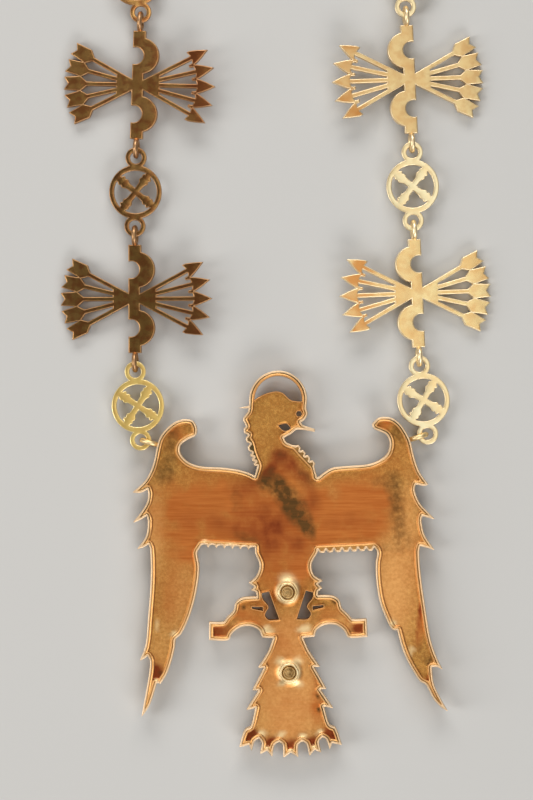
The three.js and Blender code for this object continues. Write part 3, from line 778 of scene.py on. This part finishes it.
# Soft patches painted on the eagle, in its own millimetres:
# middle, half length, half width, lean in degrees, strength
eaglePatches = {
    # Solder lumps, and painted glints where they would catch the light, such as under the yoke
    "solder_and_glint": [
        (-0.1, -38.5, 2.0, 1.7, 0, 1), (2.1, -41.1, 1.1, 2.2, 0, 1), (-1.8, -67.3, 1.4, 0.8, 20, 0.9),
        (2.1, -67.4, 1.7, 1.0, -20, 1), (-2.2, -61.4, 1.4, 1.1, 0, 0.9), (2.3, -61.5, 1.4, 1.1, 0, 0.9),
        (-5.9, -52.7, 2.0, 0.7, -2, 1), (-6.2, -51.8, 0.8, 0.7, 0, 1), (4.4, -52.6, 2.0, 0.8, 2, 1),
        (5.0, -51.8, 1.0, 0.8, 0, 1), (-22.8, -27.1, 0.8, 0.4, 0, 0.9), (-15.5, -28.1, 0.8, 0.4, 0, 0.9),
        (29.4, -51.2, 1.0, 0.8, 0, 1), (34.2, -59.1, 0.6, 1.1, -10, 0.8),
        (-32.0, -52.9, 1.0, 0.6, 30, 0.9), (-37.3, -65.7, 0.6, 0.4, 0, 0.8),
        (-36.3, -2.7, 0.6, 0.8, 0, 0.6), (-36.7, -50.6, 0.4, 1.1, 0, 0.7),
        (-7.9, -81.2, 1.1, 0.7, -20, 1), (-2.6, -81.9, 1.1, 0.7, 0, 1), (3.5, -82.3, 1.1, 0.7, 0, 1),
        (8.3, -81.2, 0.8, 0.6, 20, 1), (-6.6, -85.4, 0.8, 0.5, 0, 0.8), (0.1, -86.1, 0.8, 0.4, 0, 0.8),
        (6.5, -85.4, 0.8, 0.5, 0, 0.8),
    ],
    "worn": [
        (-24.6, -18.4, 12.3, 9.0, -2, 1), (-12.8, -19.7, 14.0, 9.0, 0, 1), (1.1, -21.7, 14.0, 9.5, 0, 1),
        (14.6, -20.0, 15.1, 8.4, 3, 1), (23.6, -19.4, 7.8, 9.5, 0, 0.7),
        (-28.1, -28.1, 7.3, 7.3, 0, 0.7), (0.4, -30.7, 7.8, 9.5, 0, 1), (-0.3, -37.9, 6.7, 5.6, 0, 0.8),
        (-30.3, 3.6, 3.6, 2.0, -30, 0.8), (28.3, 4.3, 2.8, 1.7, 40, 0.7),
        (-13.4, -47.2, 7.3, 2.2, -30, 0.6), (7.6, -72.3, 1.7, 7.8, 0, 0.7),
        (38.1, -48.3, 1.4, 9.5, -10, 0.9), (13.2, -47.2, 6.7, 2.2, 20, 0.5),
        (0.0, -8.8, 5.6, 5.0, 0, 0.65), (-0.1, -55.3, 6.2, 7.3, 0, 0.35),
        (-32.9, -43.4, 2.2, 8.4, -4, 0.3), (-0.5, -73.5, 9.5, 12.3, 0, 0.35),
    ],
    "red": [
        (-19.4, -52.7, 3.4, 2.2, 0, 1.0), (19.8, -52.4, 2.2, 1.7, 0, 0.9),
        (-10.8, -82.2, 2.8, 2.2, -40, 1.0), (-5.2, -84.6, 2.2, 2.0, 0, 1), (0.1, -85.5, 2.5, 2.2, 0, 1),
        (6.3, -84.6, 2.2, 2.0, 0, 1), (11.4, -81.9, 2.8, 2.2, 40, 1.0), (-37.3, -64.0, 2.0, 2.8, 0, 0.9),
        (39.4, -67.9, 1.4, 2.5, -20, 0.9), (-6.7, -22.7, 8.4, 7.3, 0, 0.55),
        (-1.8, -28.9, 6.7, 7.3, 0, 0.35), (-4.5, -8.2, 1.7, 4.8, -32, 0.75),
        (3.9, -8.3, 2.0, 5.9, 38, 0.75), (-1.0, -3.5, 2.8, 2.5, 0, 0.75),
        (-19.9, -21.8, 12.3, 3.4, 0, 0.3), (37.3, -47.7, 0.6, 9.5, -10, 0.8),
        (-11.3, -12.5, 5.0, 3.4, 0, 0.4), (17.9, -22.6, 8.4, 2.8, 0, 0.25),
        (6.3, -17.6, 3.9, 4.5, 0, 0.35), (3.8, -28.8, 4.5, 3.9, 0, 0.2), (0.0, -7.1, 2.5, 2.8, 0, 0.35),
    ],
    "stain": [
        (-1.0, -3.7, 2.5, 2.0, -60, 0.45), (-4.5, -9.0, 1.4, 3.6, -30, 0.45),
        (-6.2, -11.5, 2.2, 1.7, -30, 0.6), (5.1, -8.9, 1.4, 4.5, 40, 0.45),
        (-2.6, -11.3, 4.5, 2.5, -30, 0.9), (-0.1, -15.0, 5.0, 2.8, -48, 1),
        (2.3, -18.1, 3.9, 3.1, -54, 1), (4.2, -20.9, 4.5, 2.8, -60, 1), (6.1, -24.1, 3.4, 1.7, -66, 1),
        (-13.9, -15.8, 2.5, 4.5, 0, 0.3), (-11.0, -26.5, 4.5, 1.7, -20, 0.4),
        (-31.8, -2.0, 2.2, 5.6, -10, 0.5), (-34.1, -8.1, 3.9, 3.4, 0, 0.45),
        (-31.4, 3.3, 2.2, 2.8, -30, 0.4), (30.2, -11.1, 3.1, 3.4, 0, 0.45),
        (30.9, -16.2, 2.5, 5.0, 8, 0.55), (31.4, -22.3, 2.5, 4.5, 0, 0.45),
        (32.7, -28.0, 3.4, 3.9, 0, 0.35), (31.9, 1.7, 1.4, 2.8, 30, 0.7),
        (27.6, -30.1, 3.9, 1.7, 0, 0.3), (26.0, -11.6, 3.4, 2.0, 0, 0.3),
        (39.2, -62.6, 1.7, 1.0, -40, 0.9), (40.4, -58.9, 0.7, 5.0, -12, 0.6),
        (37.1, -58.9, 2.8, 3.9, -30, 0.32), (-12.4, -46.1, 0.7, 0.6, 0, 1),
        (13.5, -45.2, 1.7, 0.8, -30, 0.9), (-36.1, -63.8, 0.7, 0.6, 0, 0.9),
        (7.7, -71.4, 0.6, 0.6, 0, 0.9), (8.1, -75.1, 0.6, 0.7, 0, 1), (21.1, -31.1, 3.4, 2.2, 0, 0.3),
        (-8.0, -81.7, 5.6, 1.7, 0, 0.3), (6.0, -82.0, 4.5, 1.7, 0, 0.35),
    ],
    # Partly gilding that kept its shine, partly painted light on bands that the lights leave dim, such as the
    # wings' outer edges
    "pale": [
        (0.1, -73.8, 11.2, 15.7, 0, 1), (0.4, -57.0, 6.7, 9.0, 0, 0.9), (28.7, -43.6, 7.3, 19.0, -8, 1),
        (-29.5, -42.4, 5.6, 12.9, -5, 0.45), (-36.0, -58.7, 5.0, 9.5, -5, 0.4),
        (14.5, -52.2, 9.5, 4.5, 20, 0.7), (16.1, -30.4, 10.1, 2.5, 3, 0.9),
        (-18.6, -28.9, 10.1, 2.2, -3, 0.6), (-14.0, -50.0, 8.4, 4.5, -20, 0.4),
        (16.4, -15.0, 16.8, 3.4, 3, 0.3), (-37.0, -23.7, 3.4, 12.3, 0, 0.75),
        (35.3, -22.4, 3.4, 12.3, 0, 0.5),
    ],
    # Painted shade in the grooves, where the flange turns away from the lights
    "groove_shade": [
        (-37.8, -9.7, 4.5, 16.8, 0, 1), (-31.9, 5.6, 7.3, 3.9, 0, 0.9), (-0.9, 16.1, 11.2, 9.5, 0, 1),
        (-8.7, 0.9, 2.8, 14.0, 0, 0.9), (9.4, -3.7, 5.0, 9.5, 30, 0.8), (31.1, 2.3, 8.4, 4.5, 0, 0.9),
        (-16.8, -10.1, 14.0, 2.8, -3, 0.8), (18.2, -8.1, 14.0, 2.8, 3, 0.8),
        (12.4, -83.6, 4.5, 11.2, 0, 0.7), (8.5, -69.5, 2.8, 14.0, 0, 0.7),
        (14.7, -44.4, 6.2, 2.8, 0, 0.6), (-13.9, -44.9, 6.2, 3.4, 0, 0.7),
        (40.5, -16.9, 3.4, 16.8, 0, 0.5), (2.5, -91.8, 16.8, 3.4, 0, 0.3),
        (-9.1, -43.9, 3.4, 11.2, 0, 0.5), (8.6, -41.5, 3.4, 8.4, 0, 0.5),
    ],
}


# Strength of one patch at a place
def softPatch(x, y, row):
    centreX, centreY, long, wide, lean, strength = row
    c, s = math.cos(math.radians(lean)), math.sin(math.radians(lean))
    dx, dy = x - centreX, y - centreY
    along, across = (dx * c + dy * s) / long, (dy * c - dx * s) / wide
    return strength * math.exp(-(along * along + across * across) ** 1.4)


# The surface's own values, patina and wear with painted highlight, light and shade, which the material reads
def paintEagle(bm, relief, toLocal):
    layers = {name: bm.verts.layers.float.new(name) for name in eaglePaint}
    xs, ys = np.array([v.co.x for v in bm.verts]), np.array([v.co.y for v in bm.verts])
    rim, gap, tray = relief.rim.at(xs, ys), relief.gap.at(xs, ys), relief.tray.at(xs, ys)
    # the same distances as in the profiles
    onLip = ramp(tray, -0.4, -0.3) * ramp(tray, 0.16, 0.1) * (rim > 0.2)
    onEdge = ramp(rim, 0.56, 0.42) * (gap > 0.3)
    onGap = ramp(abs(gap - 0.16), 0.208, 0.048)
    onGroove = ramp(tray, -0.28, -0.4) * ramp(rim, 0.42, 0.52) * ramp(gap, 0.3, 0.45)
    for k, v in enumerate(bm.verts):
        place = toLocal @ v.co
        for name in eaglePatches:
            clear = 1.0
            for row in eaglePatches[name]:
                clear *= 1 - softPatch(place.x, place.y, row)
            v[layers[name]] = 1 - clear
        # the lip and the outer ridge are painted bright, partly rubbed brass and partly painted highlight
        v[layers["lip"]] = max(onLip[k], onGap[k])
        v[layers["edge"]] = onEdge[k]
        v[layers["groove"]] = onGroove[k]
        # a bright solder ring round each nut, partly painted highlight
        near = min((v.co.to_2d() - nut).length for nut in relief.nuts)
        v[layers["solder_and_glint"]] = max(v[layers["solder_and_glint"]], ramp(near, 3.5, 3.0))


def makeEagle(material):
    place, upper, lower = eagleSeat()
    plate = plateOutlines()
    print("eagle outlines", [round(areaOf(p), 1) for p in plate])
    relief = EagleRelief(plate, (upper, lower), place.inverted())
    bm = surfaceOver(relief.plan, relief.lines(), relief.heights, relief.inner())
    paintEagle(bm, relief, place.inverted())
    closeBelow(bm, eagleSettings["bottom"])
    s = eagleSettings
    for side in (-1, 1):
        lean = Matrix.Rotation(math.radians(side * s["loopLean"]), 4, "Z")
        foot = Matrix.Translation((side * s["loopOut"], 0, 0)) @ lean
        middle = Matrix.Translation((side * loopSettings["root"], 0, s["loopHeight"]))
        # the wire loops take the bright solder colour as a painted glint
        for v in addLoop(bm, place @ foot @ middle @ Matrix.Rotation(math.pi / 2, 4, "X")):
            v[bm.verts.layers.float["solder_and_glint"]] = 1
    addBreast(bm, place)
    print("eagle", len(bm.faces))
    eagle = finished("eagle_pendant", bm, material)
    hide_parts("eagle")
    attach(eagle, "root")
    return upper, lower


# Turned shape from a profile of radius and height
def spun(bm, profile, steps):
    verts = [bm.verts.new((r, 0, z)) for r, z in profile]
    edges = [bm.edges.new((p, q)) for p, q in zip(verts, verts[1:])]
    bmesh.ops.spin(bm, geom=verts + edges, cent=(0, 0, 0), axis=(0, 0, 1), angle=2 * math.pi, steps=steps,
                   use_merge=True)
    bmesh.ops.remove_doubles(bm, verts=bm.verts, dist=1e-4)
    bmesh.ops.recalc_face_normals(bm, faces=bm.faces)


nutSettings = {
    "flats": 5.3,
    "height": 2.2,
    "bottom": 5.1,
    "turn": 1.2,
    "corner": 0.7,
    "chamfer": 0.3,
    "bore": [(0, 2.0), (0.15, 1.9), (1.95, 1.9), (2.2, 2.15)],  # height, radius
}


# Worn hexagonal nut with rounded corners and a chamfered bore
def nutMesh():
    s = nutSettings
    bm = bmesh.new()
    bmesh.ops.create_circle(bm, segments=6, radius=s["flats"] / math.sqrt(3) - 0.02, cap_ends=True,
                            matrix=Matrix.Rotation(math.radians(30), 4, "Z"))
    made = bmesh.ops.extrude_face_region(bm, geom=bm.faces[:])["geom"]
    for v in made:
        if isinstance(v, bmesh.types.BMVert):
            v.co.z = s["height"]
    upright = [e for e in bm.edges if abs(e.verts[0].co.z - e.verts[1].co.z) > 1]
    bmesh.ops.bevel(bm, geom=upright, offset=s["corner"], affect="EDGES", segments=3, profile=0.5,
                    material=-1)
    level = [e for e in bm.edges if len(e.link_faces) == 2 and abs(e.verts[0].co.z - e.verts[1].co.z) < 1e-4
             and abs(e.link_faces[0].normal.z - e.link_faces[1].normal.z) > 0.5]
    bmesh.ops.bevel(bm, geom=level, offset=s["chamfer"], affect="EDGES", segments=3, profile=0.5,
                    material=-1)
    for up in (1, -1):  # opens both ends for the bore
        bm.normal_update()
        face = max(bm.faces, key=lambda f: up * f.normal.z * f.calc_area())
        bmesh.ops.delete(bm, geom=[face], context="FACES_ONLY")
    rims = [e for e in bm.edges if len(e.link_faces) == 1]
    bore = []
    for z, r in s["bore"]:
        verts = [bm.verts.new((x, y, z)) for x, y in arcPoints(0, 0, r, r, 0, 350, 35)]
        bore.append([bm.edges.new((p, q)) for p, q in zip(verts, verts[1:] + verts[:1])])
    for first, second in zip(bore, bore[1:]):
        bmesh.ops.bridge_loops(bm, edges=first + second)
    for z, inner in ((0, bore[0]), (s["height"], bore[-1])):
        outer = [e for e in rims if abs(e.verts[0].co.z - z) < 0.1]
        bmesh.ops.triangle_fill(bm, use_beauty=True, edges=outer + inner)
    bmesh.ops.recalc_face_normals(bm, faces=bm.faces)
    return bm


# Radius and height up from the plain head at the front to the thread rings at the back
studProfile = [
    (0, 0.9), (2.2, 0.9), (2.6, 1.2), (2.6, 1.75), (2.45, 1.9), (1.75, 1.9), (1.75, 7.75), (1.63, 8.08),
    (1.33, 8.1), (1.15, 7.8), (0.95, 7.78), (0.8, 8.02), (0.6, 8.0), (0.5, 7.65), (0, 7.6),
]


def makeFastenings(places, bright, dark):
    s = nutSettings
    turn = Matrix.Rotation(math.radians(s["turn"]), 4, "Z")
    for name, place in zip(("upper", "lower"), places):
        seated = Matrix.Translation((place.x, place.y, s["bottom"])) @ turn
        nut = finished(f"hex_nut_{name}", nutMesh(), bright, seated)
        bm = bmesh.new()
        spun(bm, studProfile, 36)
        stud = finished(f"threaded_stud_{name}", bm, dark, Matrix.Translation(place.to_3d()))
        for obj, node in ((nut, f"nut_{name}"), (stud, f"stud_{name}")):
            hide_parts(node)
            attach(obj, "root")


breastSettings = {
    "halfWidth": 6.3,
    "halfLength": 17.9,
    "drop": 20,
    "rows": [(0, 0.8), (0.15, 0.9), (0.6, 0.965), (1.3, 0.99), (2.5, 1.0)],  # height, share of the size
}


# Plain raised breast on the front, with a flat seat where the collar lies on it
def addBreast(bm, place):
    s = breastSettings
    rings = []
    for z, share in s["rows"]:
        oval = arcPoints(0, -s["drop"], s["halfWidth"] * share, s["halfLength"] * share, 0, 352.5, 47)
        verts = [bm.verts.new(place @ Vector((x, y, z))) for x, y in oval]
        rings.append([bm.edges.new((a, b)) for a, b in zip(verts, verts[1:] + verts[:1])])
    for first, second in zip(rings, rings[1:]):
        bmesh.ops.bridge_loops(bm, edges=first + second)
    for ring in (rings[0], rings[-1]):
        bmesh.ops.triangle_fill(bm, use_beauty=True, edges=ring)
    island = connected([rings[0][0].verts[0]])
    bmesh.ops.recalc_face_normals(bm, faces=list({f for v in island for f in v.link_faces}))


# Metres. The overhead panel is mirrored by the right strand alone, which makes the left one dark.
stageSettings = {
    "floor": "bfbdb9",
    "floorHalf": 2.0,
    "floorBelow": 0.0002,
    "world": (0.1, 0.098, 0.094, 1),
    "lights": [
        {"name": "soft_overhead", "place": (0.235, -0.1, 1.0), "aim": (0.235, -0.1, 0), "size": (0.53, 1.1),
         "power": 2.85},
        {"name": "soft_top", "place": (-0.1, 1.0, 0.75), "aim": (0, -0.1, 0), "size": (1.2, 0.5),
         "power": 12},
        {"name": "soft_left", "place": (-1.0, -0.3, 0.7), "aim": (0, -0.12, 0), "size": (0.5, 1.0),
         "power": 8},
        {"name": "soft_low", "place": (0.4, -1.2, 0.75), "aim": (0, -0.12, 0), "size": (1.0, 0.5),
         "power": 9.5},
    ],
}


def aimed(place, aim):
    return (Vector(aim) - Vector(place)).to_track_quat("-Z", "Y").to_matrix().to_4x4()


def makeStage():
    s = stageSettings
    floor = bpy.data.meshes.new("floor")
    bm = bmesh.new()
    bmesh.ops.create_grid(bm, x_segments=1, y_segments=1, size=s["floorHalf"],
                          matrix=Matrix.Translation((0, 0, -s["floorBelow"])))
    bm.to_mesh(floor)
    bm.free()
    obj = bpy.data.objects.new("floor", floor)
    bpy.context.collection.objects.link(obj)
    material, _, shader, _ = newMaterial("pale_card")  # matt card, with no highlight
    shader.inputs["Base Color"].default_value = linear(s["floor"])
    shader.inputs["Roughness"].default_value = 0.9
    floor.materials.append(material)
    for row in s["lights"]:
        data = bpy.data.lights.new(row["name"], "AREA")
        data.shape = "RECTANGLE"
        data.size, data.size_y = row["size"]
        data.energy = row["power"]
        lamp = bpy.data.objects.new(row["name"], data)
        lamp.matrix_world = Matrix.Translation(row["place"]) @ aimed(row["place"], row["aim"])
        bpy.context.collection.objects.link(lamp)
    world = bpy.data.worlds.new("studio")
    world.use_nodes = True
    world.node_tree.nodes["Background"].inputs["Color"].default_value = s["world"]
    bpy.context.scene.world = world


# Millimetres. The camera looks straight down, and the picture is so tall at the links' height.
cameraSettings = {"x": -2.296, "y": -122.9, "height": 900, "links": 6, "pictureHeight": 224, "sensor": 36}


def makeCamera():
    s = cameraSettings
    data = bpy.data.cameras.new("camera")
    data.sensor_width = s["sensor"]
    data.lens = s["sensor"] * (s["height"] - s["links"]) / s["pictureHeight"]
    camera = bpy.data.objects.new("camera", data)
    camera.location = (s["x"] * mm, s["y"] * mm, s["height"] * mm)
    bpy.context.collection.objects.link(camera)
    bpy.context.scene.camera = camera
    bpy.context.scene.view_settings.view_transform = "Standard"



# Colours of each: bright, tarnish, warm, edge (rubbed, with a painted highlight); then its roughness and how
# mottled it is
# clean gilding, with soft pale highlights
gilt = giltMaterial("gilt_brass", "d0bb87", "c3985c", "b57f47", "ffe9bd", 0.27, 0.25)
# thin gilding over pale brass, almost white gold
pale = giltMaterial("pale_gilt_brass", "dfd3aa", "dabb82", "d6b377", "ffe9bd", 0.3, 0.2)
# rubbed gilding, duller and redder
worn = giltMaterial("worn_gilt_brass", "c6b07f", "bb955f", "a8743e", "f5dcb0", 0.28, 0.3)
# lemon gold, satin
yellow = giltMaterial("yellow_gilt_brass", "e2c472", "dcb367", "d4a85c", "ffe9a8", 0.36, 0.3)
# the same gilt darkened as painted shade, browner and more mottled, for the links that the lights leave dark:
# three strengths of it
shadedGilt = giltMaterial("shaded_gilt_brass", "f2ba70", "c8904c", "c07040", "b98f66", 0.24, 0.8)
deeperShadedGilt = giltMaterial("deeper_shaded_gilt_brass", "d6a562", "a87c3f", "b06a3c", "b58c62", 0.22, 0.8)
dark = giltMaterial("darkest_shaded_gilt_brass", "a57b46", "826034", "88552e", "b98f66", 0.22, 0.8)
# nuts rubbed almost white
brightBrass = giltMaterial("bright_brass", "fff0c6", "e6bf7c", "e6bf7c", "ffffff", 0.48, 0.3)
# stud ends gone olive, with no shine left
tarnishedBrass = giltMaterial("tarnished_brass", "f0d096", "a8834c", "8a6a3c", "ffffff", 0.5, 0.9)
# the painted-shade finishes go on the strand that the lights leave dark
ownFinish = {"arrow_link_1": deeperShadedGilt, "arrow_link_2": shadedGilt, "round_link_2": dark,
             "round_link_3": shadedGilt, "round_link_1": yellow, "arrow_link_12": worn}

placeChain(gilt, pale, ownFinish)
print("chain placed")
nutPlaces = makeEagle(eagleMaterial())
makeFastenings(nutPlaces, brightBrass, tarnishedBrass)
print("nuts and studs placed")
makeStage()
makeCamera()
print("floor, lights and camera placed")
